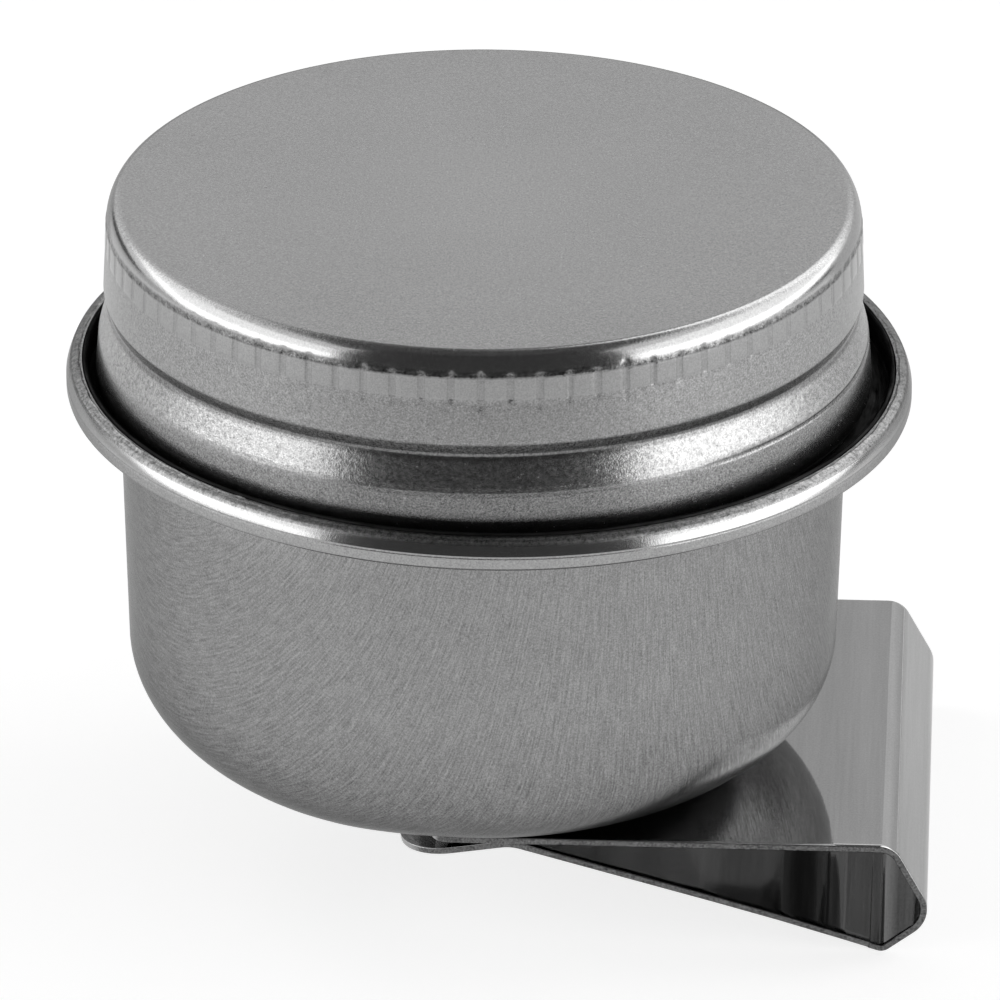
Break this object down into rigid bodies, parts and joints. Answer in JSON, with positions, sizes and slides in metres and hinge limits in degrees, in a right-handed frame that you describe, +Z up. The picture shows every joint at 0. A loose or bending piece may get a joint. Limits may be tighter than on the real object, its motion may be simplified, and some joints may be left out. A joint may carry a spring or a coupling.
{
  "type": "palette cup with screw lid",
  "caption": "Small round lidded metal cup that clips to the edge of a painter's palette and holds oil or solvent, with a threaded neck and a notched screw lid.",
  "frame": {"origin": "on the bowl's axis, on the underside of the clip's top plate, the face that lies on the palette", "axes": "+Z up the bowl's axis towards the lid, +X along the clip towards its closed end"},
  "size_m": [0.0457, 0.044, 0.0375],
  "materials": {
    "bowl_steel": "drawn and fine brushed",
    "neck_steel": "satin",
    "clip_steel": "bright rolled spring strip",
    "lid_steel": "satin sheet with polished bends",
    "liner_foam": "soft matt foam"
  },
  "bodies": {
    "cup": {"cup_bowl": "bowl_steel", "neck_ring": "neck_steel", "clip_plate": "clip_steel"},
    "clip_leaf": {"clip_leaf": "clip_steel"},
    "liner": {"lid_liner": "liner_foam"},
    "lid": {"lid_shell": "lid_steel"}
  },
  "joints": [
    {"name": "clip_flex", "type": "hinge", "parent": "cup", "child": "clip_leaf", "pos_m": [0.02069, 0, -0.0056], "axis": [0, -1, 0], "range_deg": [0, 12], "stiffness_Nm_per_rad": 0.6, "springref_deg": -5.73},
    {"name": "lid_lift", "type": "slide", "parent": "cup", "child": "liner", "axis": [0, 0, 1], "range_m": [0, 0.0145]},
    {"name": "lid_turn", "type": "hinge", "parent": "liner", "child": "lid", "pos_m": [0, 0, 0.026], "axis": [0, 0, 1], "range_deg": [0, 2160]}
  ],
  "couplings": [
    {"joint": "lid_lift", "follows": "lid_turn", "m_per_rad": 0.00038197}
  ]
}
